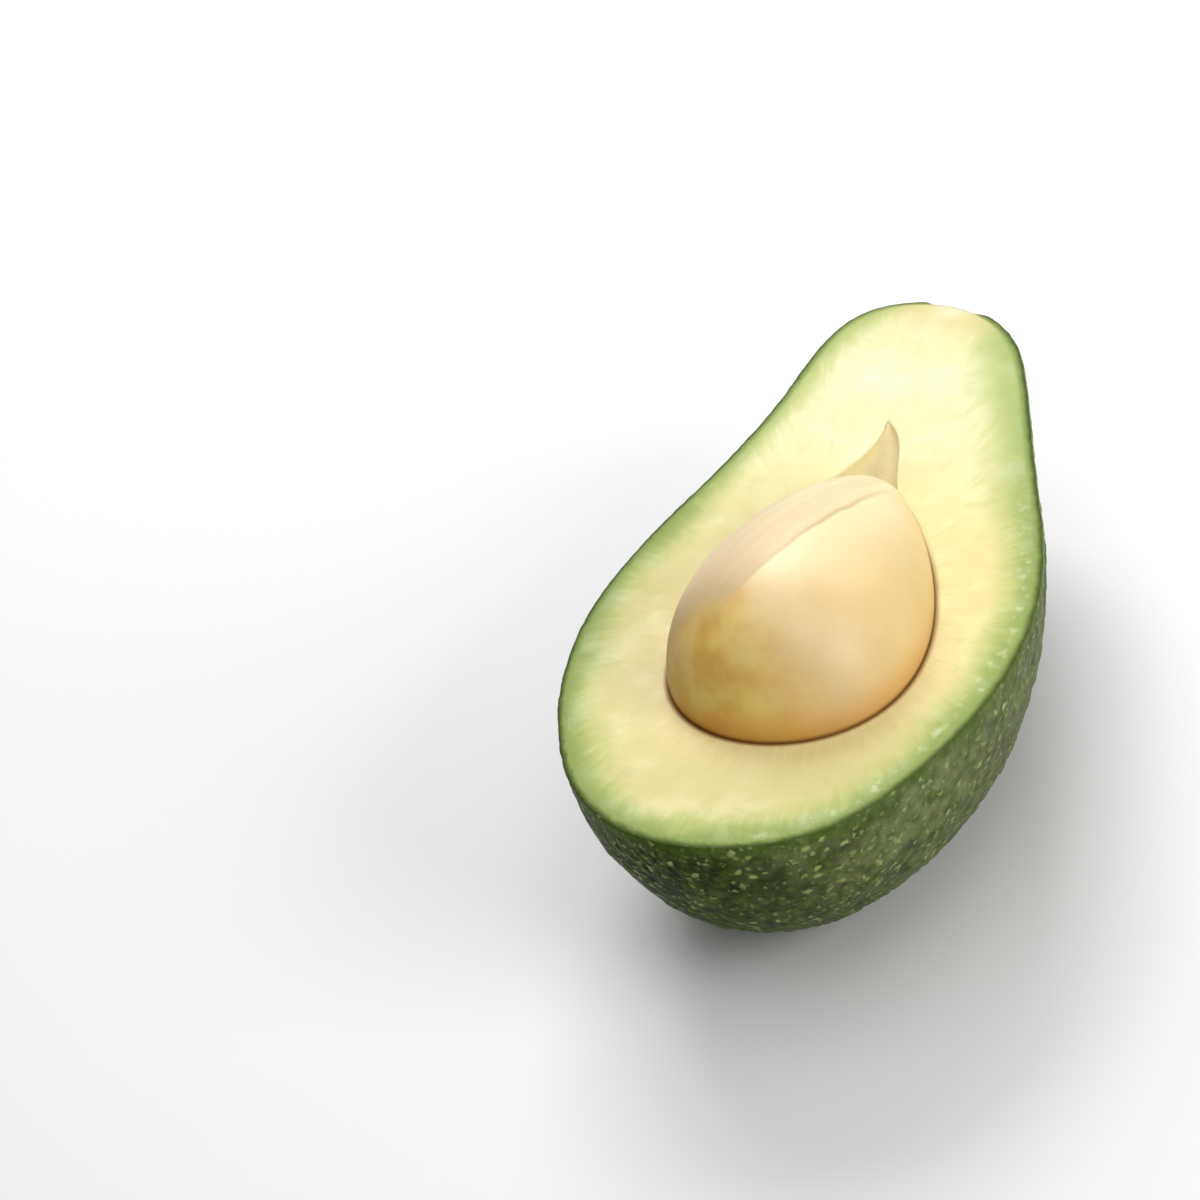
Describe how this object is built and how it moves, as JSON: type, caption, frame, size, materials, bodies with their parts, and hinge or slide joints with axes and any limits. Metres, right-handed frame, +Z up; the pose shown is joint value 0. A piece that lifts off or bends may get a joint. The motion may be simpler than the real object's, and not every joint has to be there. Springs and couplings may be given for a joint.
{
  "type": "halved avocado with its seed",
  "caption": "Half of a long, pebble-skinned avocado cut lengthways, lying on its back with the seed still in the flesh.",
  "frame": {"origin": "middle of the small flat spot under the fruit, on the surface that it rests on", "axes": "+Y along the fruit towards its stem end, +Z up, out of the level cut face, +X to the right seen from the blossom end"},
  "size_m": [0.0663, 0.1253, 0.0551],
  "materials": {
    "skin": "pebbled dark green rind with pale specks and a soft sheen",
    "flesh": "moist cut flesh, cream yellow inside turning green towards the skin",
    "seed": "smooth cream to ochre seed, partly under a papery pinkish coat"
  },
  "bodies": {
    "root": {"skin": "skin", "flesh": "flesh", "seed": "seed"}
  },
  "joints": []
}
